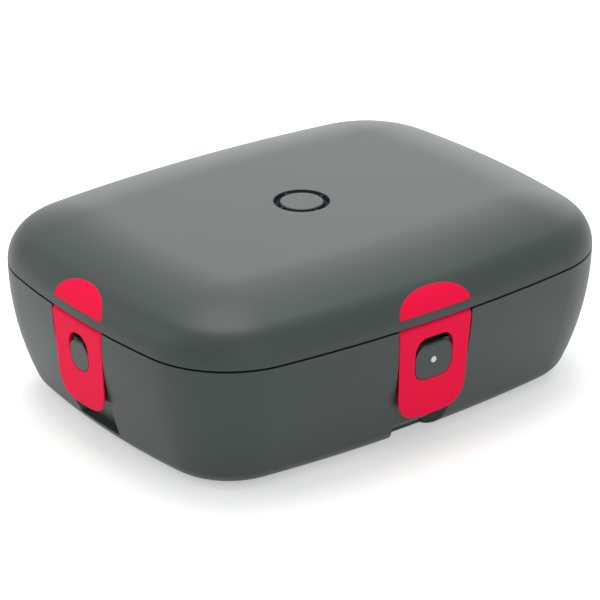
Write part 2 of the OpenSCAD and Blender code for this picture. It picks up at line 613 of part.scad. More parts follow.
// ---- Lid
lid_section = concat(lid_curve(0, rim_z), [[-edge_r, crown_h], [-edge_r, crown_h - lid_wall]],
  reversed(lid_curve(lid_wall, rim_z)));
hinge_block_h = 4.5;
hinge_block_in = 9.2;
hinge_block_w = 2*(ear_x + ear_w/2) + 6;
post_top = 10.5;
liner_z = rim_z + 0.05;
flange_t = 2.4;
module inlay_prism(s, grow) translate([0, 40, inlay_z - grow]) rotate([90, 0, 0]) linear_extrude(60)
  polygon(rounded_end(inlay_span(s)/2 + grow, inlay_rise(s) + grow, inlay_power, 0, 180, 7.5));
function lid_band(t0, t1) = concat(arc([-lid_r, 0], lid_r - t0, 2, lid_turn, 8), arc([-lid_r, 0], lid_r - t1, lid_turn, 2, 8));

vent_hole_r = vent_ring_d/2 + 0.2;
module lid_shell() color(shell_c) {
  difference() {
    union() {
      around() polygon(lid_section);
      plate(edge_r - 0.4, seam_z + crown_h - lid_wall, seam_z + crown_h);
      for (s = SIDES) at_side(s) bar(hinge_block_w, [[1.5, rim_z], [1.5, hinge_block_h], [hinge_block_in, hinge_block_h],
        [hinge_block_in, rim_z]]);
      for (p = lid_screw_at) translate([p[0], p[1], seam_z + liner_z + flange_t]) cylinder(r = 3.2, h = post_top - liner_z - flange_t);
    }
    translate([0, 0, seam_z + crown_h - 10]) cylinder(r = vent_hole_r, h = 20);
    for (p = lid_screw_at) translate([p[0], p[1], seam_z]) cylinder(r = 1.1, h = post_top - 1.5);
    for (s = SIDES) at_side(s) intersection() {
      side_band(s, latch_w + 10, lid_band(-1, inlay_t + 0.05));
      inlay_prism(s, 0.12);
    }
  }
  for (s = SIDES) at_side(s) for (sx = [-1, 1]) translate([sx*ear_x, 0, 0]) difference() {
    union() {
      at_pin() rotate([0, 90, 0]) cylinder(r = ear_r, h = ear_w, center = true);
      bar(ear_w, [[pin_in, -pin_drop - ear_r], [ear_back, -pin_drop - ear_r], [ear_back, hinge_block_h - 1],
        [ear_back - 1.9, hinge_block_h - 1], [ear_back - 1.9, -pin_drop + 0.3], [pin_in, -pin_drop + 0.3]]);
    }
    at_pin() rotate([0, 90, 0]) cylinder(r = pin_r + 0.02, h = ear_w + 1, center = true);
  }
}

module inlay(s) color(red_c) at_side(s) intersection() {
  side_band(s, latch_w + 10, lid_band(0, inlay_t));
  inlay_prism(s, 0);
}

liner_hx = half_l - 20;
liner_hy = half_w - 20;
liner_r = 30;
liner_in = 3;
module lid_liner() color("#8E9494") difference() {
  union() {
    plate(liner_in, seam_z + liner_z, seam_z + liner_z + flange_t);
    slab(liner_hx, liner_hy, liner_r, seam_z + liner_z, seam_z + liner_rise + liner_t);
  }
  slab(liner_hx - liner_t, liner_hy - liner_t, liner_r - liner_t, seam_z - 1, seam_z + liner_rise);
  for (s = SIDES) at_side(s) translate([-hinge_block_w/2 - air, -1, -1]) cube([hinge_block_w + 2*air, hinge_block_in + air + 1, 10]);
  for (p = lid_screw_at) translate([p[0], p[1], seam_z - 1]) {
    cylinder(r = 1.7, h = 10);
    cylinder(r = 2.9, h = 1 + liner_z + 1.2);
  }
  translate([0, 0, seam_z + liner_z - 1]) linear_extrude(1 + groove_d) difference() {
    polygon(oval(gasket_in + stem_in - 0.1));
    polygon(oval(gasket_in + gasket_w - stem_in + 0.1));
  }
  translate([0, 0, seam_z]) cylinder(r = 4, h = 30);
}

stem_in = 0.9;
groove_d = 1.3;
module lid_gasket() color("#D9DAD8") translate([0, 0, seam_z]) {
  translate([0, 0, -flange_drop + tub_t + air]) linear_extrude(liner_z + flange_drop - tub_t - air) difference() {
    polygon(oval(gasket_in));
    polygon(oval(gasket_in + gasket_w));
  }
  translate([0, 0, liner_z - eps]) linear_extrude(groove_d - 0.1) difference() {
    polygon(oval(gasket_in + stem_in));
    polygon(oval(gasket_in + gasket_w - stem_in));
  }
}

module lid_screws() color(steel_c) for (p = lid_screw_at) translate([p[0], p[1], seam_z + liner_z + 0.15]) screw(2.7, 1, 1.1, 7);

foam_in = 30;
foam_t = 4.3;
module lid_insulation() color("#EDEBE4") difference() {
  translate([0, 0, seam_z + liner_rise + liner_t]) linear_extrude(foam_t) polygon(oval(foam_in));
  translate([0, 0, seam_z]) cylinder(r = vent_ring_d/2 + 3.2, h = 60);
}

module hinge_pins() color(steel_c) for (s = SIDES) at_side(s) at_pin() rotate([0, 90, 0]) cylinder(r = pin_r, h = pin_l(s), center = true);

// ---- Vent: a ring with a sprung button, whose seal closes a hole in the liner
crown_z = seam_z + crown_h;
ceiling_z = seam_z + liner_rise;
cup_r = vent_d/2 + 0.3;
cup_floor = 1.5;
stem_r = 3;
module vent_ring() color(black_c) rotate_extrude() polygon([
  [stem_r + 0.3, ceiling_z + liner_t], [cup_r + 1.6, ceiling_z + liner_t], [cup_r + 1.6, crown_z - lid_wall - 1.7],
  [vent_ring_d/2 + 2.2, crown_z - lid_wall - 1.7], [vent_ring_d/2 + 2.2, crown_z - lid_wall - 0.1],
  [vent_ring_d/2, crown_z - lid_wall - 0.1], [vent_ring_d/2, crown_z - 0.1], [cup_r, crown_z - 0.1],
  [cup_r, ceiling_z + liner_t + cup_floor], [stem_r + 0.3, ceiling_z + liner_t + cup_floor]]);

button_t = 2;
stem_foot = ceiling_z - 3.6;
module vent_button() color(shell_c) rotate_extrude() polygon([[0, stem_foot], [stem_r - 0.3, stem_foot], [stem_r - 0.3, ceiling_z - 2.9],
  [stem_r - 0.8, ceiling_z - 2.9], [stem_r - 0.8, ceiling_z - 2.1], [stem_r, ceiling_z - 2.1], [stem_r, crown_z - button_t - 0.1],
  [vent_d/2, crown_z - button_t - 0.1], [vent_d/2, crown_z - 0.5], [vent_d/2 - 0.4, crown_z - 0.1], [0, crown_z - 0.1]]);
module vent_seal() color("#D9DAD8") translate([0, 0, ceiling_z - 2]) difference() {
  cylinder(r = 7, h = 2 - air);
  translate([0, 0, -1]) cylinder(r = stem_r + 0.05, h = 5);
}
module vent_clip() color(steel_c) translate([0, 0, ceiling_z - 2.85]) difference() {
  cylinder(r = 4.6, h = 0.7);
  translate([0, 0, -1]) cylinder(r = stem_r - 0.75, h = 5);
  translate([0, -1.4, -1]) cube([10, 2.8, 5]);
}

spring_r = 6;
wire_r = 0.5;
spring_z0 = ceiling_z + liner_t + cup_floor + wire_r + 0.05;
spring_z1 = crown_z - button_t - 0.15 - wire_r;
COILS = 4;
WIRE_SIDES = 6;
WIRE_STEPS = 16;
spring_path = [for (i = [0:COILS*WIRE_STEPS]) let (a = 360*i/WIRE_STEPS)
  [spring_r*cos(a), spring_r*sin(a), spring_z0 + (spring_z1 - spring_z0)*i/(COILS*WIRE_STEPS)]];
function unit(v) = v/norm(v);
module tube(path, r, sides) {
  n = len(path);
  rings = [for (i = [0:n - 1]) let (
    along = unit(path[min(i + 1, n - 1)] - path[max(i - 1, 0)]),
    across = unit(cross(along, abs(along[2]) > 0.9 ? [1, 0, 0] : [0, 0, 1])),
    up = cross(across, along))
    for (k = [0:sides - 1]) path[i] + r*(cos(360*k/sides)*across + sin(360*k/sides)*up)];
  polyhedron(rings, concat(
    [[for (k = [sides - 1:-1:0]) k]],
    [for (i = [0:n - 2], k = [0:sides - 1]) [i*sides + k, i*sides + (k + 1) % sides, (i + 1)*sides + (k + 1) % sides, (i + 1)*sides + k]],
    [[for (k = [0:sides - 1]) (n - 1)*sides + k]]));
}
module vent_spring() color(steel_c) tube(spring_path, wire_r, WIRE_SIDES);

// ---- Latches
module latch(s) color(red_c) at_side(s) at_pin() rotate([latch_tilt, 0, 0]) difference() {
  union() {
    translate([0, latch_t - barrel_r, 0]) rotate([90, 0, 0]) linear_extrude(latch_t) polygon(latch_outline(s));
    rotate([0, 90, 0]) cylinder(r = barrel_r, h = top_w(s), center = true);
  }
  window_form(s, 0, window_top, -barrel_r - 1, latch_t - barrel_r + 1);
  for (sx = [-1, 1]) translate([sx*ear_x, 0, 0]) {
    bar(ear_w + 2*air, [[-0.6, 10], [-0.6, -ear_r - 0.4], [10, -ear_r - 0.4], [10, 10]]);
    rotate([0, 90, 0]) cylinder(r = ear_r + 0.2, h = ear_w + 2*air, center = true);
  }
  rotate([0, 90, 0]) cylinder(r = pin_r + 0.08, h = pin_l(s) + 0.4, center = true);
}

// ---- Dish and its cover
dish_z = plate_z + air;
dish_hx = tub_hx - tub_t - dish_gap;
dish_hy = tub_hy - tub_t - dish_gap;
dish_r = tub_r - tub_t - dish_gap + 2;
dish_top = seam_z - flange_drop + tub_t + air + dish_t;
dish_lean = 2;
dish_rim = dish_gap + 4;
dish_h = dish_top - dish_z;
function dish_curve(t) = concat([[-t, dish_h - (t > 0 ? 0 : dish_t)]],
  arc([-dish_lean - dish_foot_r, dish_foot_r], dish_foot_r - t, 0, -90, 7));
module dish() color(steel_c) translate([0, 0, dish_z]) {
  frame(dish_hx, dish_hy, dish_r) polygon(concat(
    [[dish_rim, dish_h], [dish_rim, dish_h - dish_t]], dish_curve(0), [[-dish_r, 0], [-dish_r, dish_t]],
    reversed(dish_curve(dish_t))));
  linear_extrude(dish_t) square([2*(dish_hx - dish_r) + 1, 2*(dish_hy - dish_r) + 1], center = true);
}

cover_z = dish_top + air;
cover_rise = 4;
cover_w = 1.6;
plug_in = 3.2;
module dish_cover() color("#7C8484") translate([0, 0, cover_z]) difference() {
  union() {
    slab(dish_hx + dish_rim - 0.5, dish_hy + dish_rim - 0.5, dish_r + dish_rim - 0.5, 0, cover_w);
    slab(dish_hx - plug_in, dish_hy - plug_in, dish_r - plug_in + 1, -4, cover_rise + cover_w);
  }
  slab(dish_hx - plug_in - cover_w, dish_hy - plug_in - cover_w, dish_r - plug_in - cover_w + 1, -5, cover_rise);
  cylinder(r = 5, h = 20);
}
module dish_cover_seal() color("#D9DAD8") translate([0, 0, cover_z]) difference() {
  slab(dish_hx - dish_t - air - 0.1, dish_hy - dish_t - air - 0.1, dish_r - dish_t - air, -3, -0.4);
  slab(dish_hx - plug_in + 0.1, dish_hy - plug_in + 0.1, dish_r - plug_in + 1, -5, 1);
}
module dish_valve() color("#E3E4E2") translate([0, 0, cover_z + cover_rise]) rotate_extrude() polygon([
  [0, -1.4], [6.2, -1.4], [6.2, -0.2], [4.8, -0.2], [4.8, cover_w + 0.2], [6.5, cover_w + 0.2], [6.5, cover_w + 1.6], [5.5, cover_w + 2.4],
  [2, cover_w + 2.4], [0, cover_w + 1.6]]);

base_shell();
bottom_cover();
rubber_feet();
bottom_screws();
inner_tub();
shield_nuts();
heater_plate();
heating_element();
element_clamps();
thermostat();
thermal_fuse();
insulation_pad();
heat_shield();
control_board();
board_parts();
board_screws();
power_inlet();
inlet_pins();
inlet_screws();
light_pipe();
led_board();
lid_shell();
lid_liner();
lid_insulation();
lid_gasket();
lid_screws();
hinge_pins();
inlay(SIDES[0]);  // inlay_front
inlay(SIDES[1]);  // inlay_right
inlay(SIDES[2]);  // inlay_rear
inlay(SIDES[3]);  // inlay_left
vent_ring();
vent_spring();
vent_button();
vent_seal();
vent_clip();
latch(SIDES[0]);  // latch_front
latch(SIDES[1]);  // latch_right
latch(SIDES[2]);  // latch_rear
latch(SIDES[3]);  // latch_left
dish();
dish_cover();
dish_cover_seal();
dish_valve();
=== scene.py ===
import json
import math

import bmesh
import bpy
from mathutils import Matrix, Vector


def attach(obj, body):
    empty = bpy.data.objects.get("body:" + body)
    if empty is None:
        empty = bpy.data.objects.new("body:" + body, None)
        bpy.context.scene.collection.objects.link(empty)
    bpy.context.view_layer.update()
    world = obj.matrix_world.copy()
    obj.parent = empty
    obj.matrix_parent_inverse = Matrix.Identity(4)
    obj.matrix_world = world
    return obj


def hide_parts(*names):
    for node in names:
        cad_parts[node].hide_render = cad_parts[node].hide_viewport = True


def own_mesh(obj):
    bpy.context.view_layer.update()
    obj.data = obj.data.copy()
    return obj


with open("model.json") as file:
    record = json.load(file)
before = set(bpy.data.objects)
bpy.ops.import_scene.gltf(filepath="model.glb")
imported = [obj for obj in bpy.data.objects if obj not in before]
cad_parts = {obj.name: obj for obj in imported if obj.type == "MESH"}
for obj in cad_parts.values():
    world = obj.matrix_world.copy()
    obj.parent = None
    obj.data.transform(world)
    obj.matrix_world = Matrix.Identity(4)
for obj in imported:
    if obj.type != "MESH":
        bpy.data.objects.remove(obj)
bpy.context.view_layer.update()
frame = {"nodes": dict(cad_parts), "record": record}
mm = 0.001
seamHeight = 71  # mm, where the lid meets the base

# closeness, in mm and degrees
touch = 0.01  # a point this close to a plane counts as on it
weld = 0.001  # points this close are merged
flatAngle = 0.05  # faces that differ by less are merged
sharpAngle = 35  # an edge over this stays sharp
facing = 0.99  # a face whose normal has this share along an axis looks that way


def aimAndLink(thing, place, target):
    thing.location = place
    thing.rotation_euler = (Vector(target) - Vector(place)).to_track_quat("-Z", "Y").to_euler()
    bpy.context.scene.collection.objects.link(thing)


# camera: the lens and place that put the seam's oval where the photo has it
cameraSettings = {
    "azimuth": 37.379,  # degrees, from the front towards the left
    "elevation": 24.024,
    "distance": 1541.15 * mm,  # from the middle of the seam
    "focalPixels": 3036.49,
    "framePixels": 600,
    "sensor": 36,
    "pixelShift": (1.575, -51.909),  # the photo's frame sits this far off the seam's middle
    "clip": (0.05, 20),  # the nearest and farthest that it sees, in metres
}


def addCamera():
    c = cameraSettings
    az, el = math.radians(c["azimuth"]), math.radians(c["elevation"])
    back = Vector((-math.sin(az) * math.cos(el), -math.cos(az) * math.cos(el), math.sin(el)))
    right = Vector((math.cos(az), -math.sin(az), 0))
    up = right.cross(-back)
    middle = Vector((0, 0, seamHeight * mm))
    # aims at the point that the frame's middle shows, so no lens shift is needed
    shiftRight, shiftUp = c["pixelShift"]
    scale = c["distance"] / c["focalPixels"]
    aim = middle - right * shiftRight * scale + up * shiftUp * scale
    data = bpy.data.cameras.new("photoCamera")
    data.sensor_width = c["sensor"]
    data.lens = c["focalPixels"] / c["framePixels"] * c["sensor"]
    data.clip_start, data.clip_end = c["clip"]
    camera = bpy.data.objects.new("photoCamera", data)
    aimAndLink(camera, middle + back * c["distance"], aim)
    bpy.context.scene.camera = camera


addCamera()
print("stage: camera")


# from an sRGB hex value to the linear colour that a shader takes
def toLinear(hexColour):
    values = [int(hexColour[i:i + 2], 16) / 255 for i in (1, 3, 5)]
    return [v / 12.92 if v <= 0.04045 else ((v + 0.055) / 1.055) ** 2.4 for v in values] + [1]


def addNode(tree, kind, inputs=None, **settings):
    node = tree.nodes.new(kind)
    for name, value in settings.items():
        setattr(node, name, value)
    for socket, value in (inputs or {}).items():
        if isinstance(value, bpy.types.NodeSocket):
            tree.links.new(value, node.inputs[socket])
        else:
            node.inputs[socket].default_value = value
    return node


def newMaterial(name):
    material = bpy.data.materials.new(name)
    material.use_nodes = True
    material.node_tree.nodes.clear()
    return material, material.node_tree


def finishMaterial(material, tree, shader):
    addNode(tree, "ShaderNodeOutputMaterial", {"Surface": shader.outputs[0]})
    return material


# moulded plastic: its fine grit takes the edge off each highlight, and its colour drifts a little
# real grit is about 0.05 mm, too fine to show, so it is drawn at 0.3 mm and more
plasticSettings = {
    "driftSize": 55.56, "driftRange": (0.3, 0.7),  # mm across a patch, and where the drift sets in and ends
    "roughnessSpread": 0.05, "bumpStrength": 0.35,
}


def mouldedPlastic(name, colour, drift, roughness, grit, depth, ior=1.5):
    s = plasticSettings
    material, tree = newMaterial(name)
    place = addNode(tree, "ShaderNodeTexCoord").outputs["Object"]
    patches = addNode(tree, "ShaderNodeTexNoise", {
        "Vector": place, "Scale": 1 / (s["driftSize"] * mm), "Detail": 3, "Roughness": 0.5})
    tint = addNode(tree, "ShaderNodeValToRGB", {"Fac": patches.outputs["Fac"]})
    for stop, position, hexColour in zip(tint.color_ramp.elements, s["driftRange"], (colour, drift)):
        stop.position = position
        stop.color = toLinear(hexColour)
    grain = addNode(tree, "ShaderNodeTexNoise", {
        "Vector": place, "Scale": 1 / (grit * mm), "Detail": 2, "Roughness": 0.6})
    rough = addNode(tree, "ShaderNodeMapRange", {
        "Value": grain.outputs["Fac"],
        "To Min": roughness - s["roughnessSpread"], "To Max": roughness + s["roughnessSpread"]})
    bump = addNode(tree, "ShaderNodeBump", {
        "Height": grain.outputs["Fac"], "Strength": s["bumpStrength"], "Distance": depth * mm})
    shader = addNode(tree, "ShaderNodeBsdfPrincipled", {
        "Base Color": tint.outputs["Color"], "Roughness": rough.outputs["Result"],
        "IOR": ior, "Normal": bump.outputs["Normal"]})
    return finishMaterial(material, tree, shader)


# metal: a grain that breaks the mirror image up; brush marks are too fine to show, so it is drawn coarser
metalSettings = {"grain": 1.111, "roughnessSpread": 0.07, "bumpStrength": 0.2, "bumpDepth": 0.02}


def metal(name, colour, roughness):
    s = metalSettings
    material, tree = newMaterial(name)
    place = addNode(tree, "ShaderNodeTexCoord").outputs["Object"]
    grain = addNode(tree, "ShaderNodeTexNoise", {
        "Vector": place, "Scale": 1 / (s["grain"] * mm), "Detail": 2})
    rough = addNode(tree, "ShaderNodeMapRange", {
        "Value": grain.outputs["Fac"],
        "To Min": roughness - s["roughnessSpread"], "To Max": roughness + s["roughnessSpread"]})
    bump = addNode(tree, "ShaderNodeBump", {
        "Height": grain.outputs["Fac"], "Strength": s["bumpStrength"], "Distance": s["bumpDepth"] * mm})
    shader = addNode(tree, "ShaderNodeBsdfPrincipled", {
        "Base Color": toLinear(colour), "Metallic": 1.0,
        "Roughness": rough.outputs["Result"], "Normal": bump.outputs["Normal"]})
    return finishMaterial(material, tree, shader)


# plastics: name, colour, the colour it drifts to, roughness, grit in mm, its depth in mm
# metals: name, colour, roughness
finishes = {
    # moulded ABS with fine grit: a dark greenish grey with wide, soft highlights
    "greyAbs": mouldedPlastic("mouldedGreyAbs", "#273330", "#2A3633", 0.45, 0.35, 0.03),
    # moulded ABS full of pigment: a strong, even red with hardly a white sheen, which the low IOR gives
    "redAbs": mouldedPlastic("mouldedRedAbs", "#F20840", "#F40A43", 0.6, 0.35, 0.02, ior=1.22),
    # moulded ABS from a smooth tool: black with a clear sheen
    "blackAbs": mouldedPlastic("mouldedBlackAbs", "#141617", "#17191A", 0.4, 0.35, 0.02),
    # moulded ABS with coarse grit: a black that stays dull at a low angle, which the low IOR gives
    "mattBlack": mouldedPlastic("mattBlackAbs", "#22292A", "#252C2D", 0.7, 0.35, 0.03, ior=1.25),
    # moulded polypropylene: a pale grey with a waxy sheen
    "linerPp": mouldedPlastic("mouldedLinerPp", "#8B9191", "#8F9595", 0.45, 0.4, 0.02),
    # moulded silicone: off-white and smooth, with a soft sheen
    "silicone": mouldedPlastic("mouldedSilicone", "#D6D7D4", "#DADBD8", 0.5, 0.3, 0.01, ior=1.43),
    # moulded rubber: black and dull
    "rubber": mouldedPlastic("mouldedRubber", "#1B1C1C", "#202121", 0.7, 0.3, 0.03),
    # fired steatite without a glaze: cream and chalky
    "ceramic": mouldedPlastic("firedSteatite", "#D5CFBD", "#DAD4C3", 0.6, 0.3, 0.02),
    # pressed ceramic felt: cream, with coarse fibres and no highlight
    "felt": mouldedPlastic("pressedCeramicFelt", "#E2DCCA", "#E9E4D3", 0.9, 0.8, 0.2),
    # solder mask printed on a board: a glossy green
    "solderMask": mouldedPlastic("greenSolderMask", "#1F6B3F", "#237246", 0.35, 0.5, 0.01),
    # moulded acrylic, frosted: almost white, with a soft gloss
    "lightPipe": mouldedPlastic("frostedLightPipe", "#D9DEDB", "#E2E6E3", 0.35, 0.3, 0.01),
    # drawn and brushed stainless steel: a grey mirror that the grain blurs
    "steel": metal("brushedStainless", "#C4C6C7", 0.32),
    # cast aluminium: a little paler and duller than the steel
    "aluminium": metal("castAluminium", "#C9CCCE", 0.4),
    # plated brass: a warm, bright gloss
    "brass": metal("platedBrass", "#D8BA78", 0.3),
}

slotFinish = {
    "shell_plastic": "greyAbs", "red_plastic": "redAbs", "black_plastic": "blackAbs",
    "liner_plastic": "linerPp", "clear_plastic": "lightPipe", "black_rubber": "rubber",
    "silicone": "silicone", "steel": "steel", "aluminium": "aluminium", "brass": "brass",
    "ceramic": "ceramic", "felt": "felt", "board": "solderMask",
}


def setFinish(piece, finish):
    piece.data.materials.clear()
    piece.data.materials.append(finishes[finish])


for part in frame["record"]["subparts"]:
    setFinish(frame["nodes"][part["node"]], slotFinish[part["material_slot"]])
print("stage: finishes on the frame")


# modelling helpers
def deselectAll():
    if bpy.context.object and bpy.context.object.mode != "OBJECT":
        bpy.ops.object.mode_set(mode="OBJECT")
    bpy.ops.object.select_all(action="DESELECT")


def selectOnly(piece):
    deselectAll()
    piece.select_set(True)
    bpy.context.view_layer.objects.active = piece


def startPiece(name, kind, **settings):
    deselectAll()
    getattr(bpy.ops.mesh, "primitive_" + kind + "_add")(**settings)
    piece = bpy.context.object
    piece.name = name
    return piece


def editPiece(piece):
    selectOnly(piece)
    bpy.ops.object.mode_set(mode="EDIT")
    bpy.ops.mesh.select_all(action="DESELECT")


# selects the points that pass the test, or the edges whose points all pass it
def pick(piece, test, kind="edges"):
    mesh = bmesh.from_edit_mesh(piece.data)
    for vert in mesh.verts:
        vert.select = False
    mesh.select_flush(False)
    bpy.ops.mesh.select_mode(type={"verts": "VERT", "edges": "EDGE"}[kind])
    mesh = bmesh.from_edit_mesh(piece.data)
    for item in getattr(mesh, kind):
        points = [item.co] if kind == "verts" else [v.co for v in item.verts]
        item.select_set(all(test(p) for p in points))
    bmesh.update_edit_mesh(piece.data)


def unpickEdges(piece, test):
    mesh = bmesh.from_edit_mesh(piece.data)
    for edge in mesh.edges:
        if test(edge):
            edge.select_set(False)
    bmesh.update_edit_mesh(piece.data)


# runs an edit-mode operator on the whole piece
def onAll(operator, **settings):
    bpy.ops.mesh.select_all(action="SELECT")
    operator(**settings)


# turns all faces outwards and leaves edit mode
def closeEdit():
    onAll(bpy.ops.mesh.normals_make_consistent, inside=False)
    bpy.ops.object.mode_set(mode="OBJECT")


def applyPlace(piece, matrix=None):
    selectOnly(piece)
    if matrix is not None:
        piece.matrix_world = matrix @ piece.matrix_world
    bpy.ops.object.transform_apply(location=True, rotation=True, scale=True)


def applyModifier(piece, kind, **settings):
    selectOnly(piece)
    change = piece.modifiers.new("change", kind)
    for name, value in settings.items():
        setattr(change, name, value)
    bpy.ops.object.modifier_apply(modifier=change.name)


def combine(piece, other, operation):
    applyModifier(piece, "BOOLEAN", operation=operation, solver="EXACT", object=other)
    bpy.data.objects.remove(other)


def softNormals(piece):
    selectOnly(piece)
    bpy.ops.object.shade_smooth_by_angle(angle=math.radians(sharpAngle))
    applyModifier(piece, "WEIGHTED_NORMAL", keep_sharp=True, weight=90)


# the piece takes over from its node: its body and, unless another is named, the finish of its slot
def handOver(piece, node, finish=None):
    part = next(p for p in frame["record"]["subparts"] if p["node"] == node)
    body = next(b for b, nodes in frame["record"]["behaviour"]["bodies"].items() if node in nodes)
    setFinish(piece, finish or slotFinish[part["material_slot"]])
    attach(piece, body)
    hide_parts(node)


# a place in mm
def moved(x, y, z):
    return Matrix.Translation((x * mm, y * mm, z * mm))


def turned(degrees, axis):
    return Matrix.Rotation(math.radians(degrees), 4, axis)


# latches: a thin flap on a barrel, with a window for the catch and pockets for the lid's ears
# a flap is made at its pin, outside towards -y and its end down, and put in place at the end
latchSettings = {
    # widths at the pin and at the shoulder, length, start of the rounded end, the window's width and foot
    "long": {"top": 44.8, "end": 42.2, "drop": 51.6, "shoulder": 33, "window": 23.4, "foot": 31.4},
    "short": {"top": 42.4, "end": 39.4, "drop": 47.6, "shoulder": 29.5, "window": 16, "foot": 28.3},
    "thickness": 1.6, "tilt": 3.5,
    "endProfile": 0.648, "endSteps": 14,  # how square the end is, and its steps on each side
    "endMeet": 0.9999,  # how far its two sides come together in the middle
    "barrel": 2.5, "barrelSteps": 64, "barrelSoftness": 0.8, "softSteps": 5,
    "bore": 0.88, "boreSteps": 24, "boreEnd": 0.8,  # the bore stops this far from the barrel's ends
    "pinIn": 2.8, "pinDrop": 2.6,  # the pin lies this far inside the seam's rim and under it
    "windowTop": 8.3, "windowCorner": 7, "cornerSteps": 9, "windowSlack": 0.1,
    "cutPast": 1, "camSlope": 55, "camReach": 4,
    "earPlace": 13, "earPocket": 5, "earReach": 1.9, "earSteps": 48,
    "pocketBack": -0.6, "pocketFoot": 2.1, "pocketSize": 10,
    "rimSoftness": 0.4, "rimSteps": 4, "backCut": 1.1,
}
latchSides = {
    "front": {"turn": 0, "reach": 107.36, "size": "long"},
    "right": {"turn": 90, "reach": 137.46, "size": "short"},
    "rear": {"turn": 180, "reach": 107.36, "size": "long"},
    "left": {"turn": -90, "reach": 137.46, "size": "short"},
}
# the flap's two faces, measured from the pin
flapFront = -latchSettings["barrel"]
flapBack = latchSettings["thickness"] - latchSettings["barrel"]


def windowPrism(name, size, y0, y1):
    s = latchSettings
    z0, z1 = s["pinDrop"] - size["foot"], s["pinDrop"] - s["windowTop"]
    piece = startPiece(name, "plane", size=2 * mm, rotation=(math.radians(90), 0, 0))
    stretch = Matrix.Diagonal((size["window"] / 2, 1, (z1 - z0) / 2, 1))
    applyPlace(piece, moved(0, y0, (z0 + z1) / 2) @ stretch)
    editPiece(piece)
    onAll(
        bpy.ops.mesh.bevel, offset=s["windowCorner"] * mm, segments=s["cornerSteps"], profile=0.5,
        affect="VERTICES", clamp_overlap=False)
    onAll(bpy.ops.mesh.remove_doubles, threshold=weld * mm)
    onAll(bpy.ops.mesh.extrude_region_move, TRANSFORM_OT_translate={"value": (0, (y1 - y0) * mm, 0)})
    closeEdit()
    return piece


def startFlap(name, size):
    s = latchSettings
    rise = size["drop"] - size["shoulder"]
    straight = size["shoulder"] - s["pinDrop"]
    # a 2 by 1 plate, its lower corners bevelled until they all but meet, stretched to the rounded end's size
    piece = startPiece(name, "plane", size=2, rotation=(math.radians(90), 0, 0))
    applyPlace(piece, Matrix.Diagonal((1, 1, 0.5, 1)))
    editPiece(piece)
    pick(piece, lambda p: p.z < 0, "verts")
    bpy.ops.mesh.bevel(
        offset=s["endMeet"], segments=s["endSteps"], profile=s["endProfile"],
        affect="VERTICES", clamp_overlap=False)
    onAll(bpy.ops.mesh.remove_doubles, threshold=weld)  # here in the plate's own units
    stretch = Matrix.Diagonal((size["end"] / 2 * mm, 1, rise * mm, 1))
    applyPlace(piece, moved(0, flapFront, -(straight + rise / 2)) @ stretch)
    # drawn up to the pin, widened there, and given its thickness
    editPiece(piece)
    pick(piece, lambda p: p.z > -(straight + touch) * mm)
    bpy.ops.mesh.extrude_edges_move(TRANSFORM_OT_translate={"value": (0, 0, straight * mm)})
    pick(piece, lambda p: p.z > -touch * mm)
    bpy.ops.transform.resize(value=(size["top"] / size["end"], 1, 1), center_override=(0, 0, 0))
    onAll(
        bpy.ops.mesh.extrude_region_move,
        TRANSFORM_OT_translate={"value": (0, (flapBack - flapFront) * mm, 0)})
    closeEdit()
    return piece


def cutWindow(latch, size):
    s = latchSettings
    straightCut = windowPrism("windowCut", size, flapFront - s["cutPast"], flapBack + s["cutPast"])
    combine(latch, straightCut, "DIFFERENCE")
    # the same window cut along the cam slope, down and inwards: there the flap slides over the catch's foot
    slopeCut = windowPrism("slopeCut", size, -s["cutPast"], s["camReach"])
    lower = Matrix.Diagonal((1, 1, math.cos(math.radians(s["camSlope"])), 1))
    applyPlace(slopeCut, moved(0, flapFront, 0) @ turned(-s["camSlope"], "X") @ lower)
    combine(latch, slopeCut, "DIFFERENCE")


# the outer rims of flap and window are softened, and the back of the flap's rim is cut away,
# so that it looks thin from the side; the top edge stays, because it runs into the barrel
def softenRims(latch, size):
    s = latchSettings
    windowBack = s["pinDrop"] - size["foot"] - s["thickness"] * math.tan(math.radians(s["camSlope"]))

    def inFace(edge, side):
        return all(face.normal.y * side > facing for face in edge.link_faces)

    def atTop(edge):
        return all(v.co.z > -touch * mm for v in edge.verts)

    def inWindow(edge):
        halfWidth, foot = size["window"] / 2 + s["windowSlack"], windowBack - s["windowSlack"]
        return all(abs(v.co.x) < halfWidth * mm and v.co.z > foot * mm for v in edge.verts)

    editPiece(latch)
    pick(latch, lambda p: p.y < (flapFront + touch) * mm)
    unpickEdges(latch, lambda edge: inFace(edge, -1) or atTop(edge))
    bpy.ops.mesh.bevel(offset=s["rimSoftness"] * mm, segments=s["rimSteps"], profile=0.5, affect="EDGES")
    pick(latch, lambda p: p.y > (flapBack - touch) * mm)
    unpickEdges(latch, lambda edge: inFace(edge, 1) or atTop(edge) or inWindow(edge))
    bpy.ops.mesh.bevel(offset=s["backCut"] * mm, segments=1, affect="EDGES")
    bpy.ops.object.mode_set(mode="OBJECT")


# a cylinder that lies along the pin
def pinRod(name, vertices, radius, length, x=0):
    rod = startPiece(
        name, "cylinder", vertices=vertices, radius=radius * mm, depth=length * mm,
        location=(x * mm, 0, 0), rotation=(0, math.radians(90), 0))
    applyPlace(rod)
    return rod


def addBarrel(latch, size):
    s = latchSettings
    barrel = pinRod("barrel", s["barrelSteps"], s["barrel"], size["top"])
    editPiece(barrel)
    for end in (1, -1):
        pick(barrel, lambda p: p.x * end > (size["top"] / 2 - touch) * mm)
        bpy.ops.mesh.bevel(
            offset=s["barrelSoftness"] * mm, segments=s["softSteps"], profile=0.5, affect="EDGES")
    bpy.ops.object.mode_set(mode="OBJECT")
    combine(latch, barrel, "UNION")


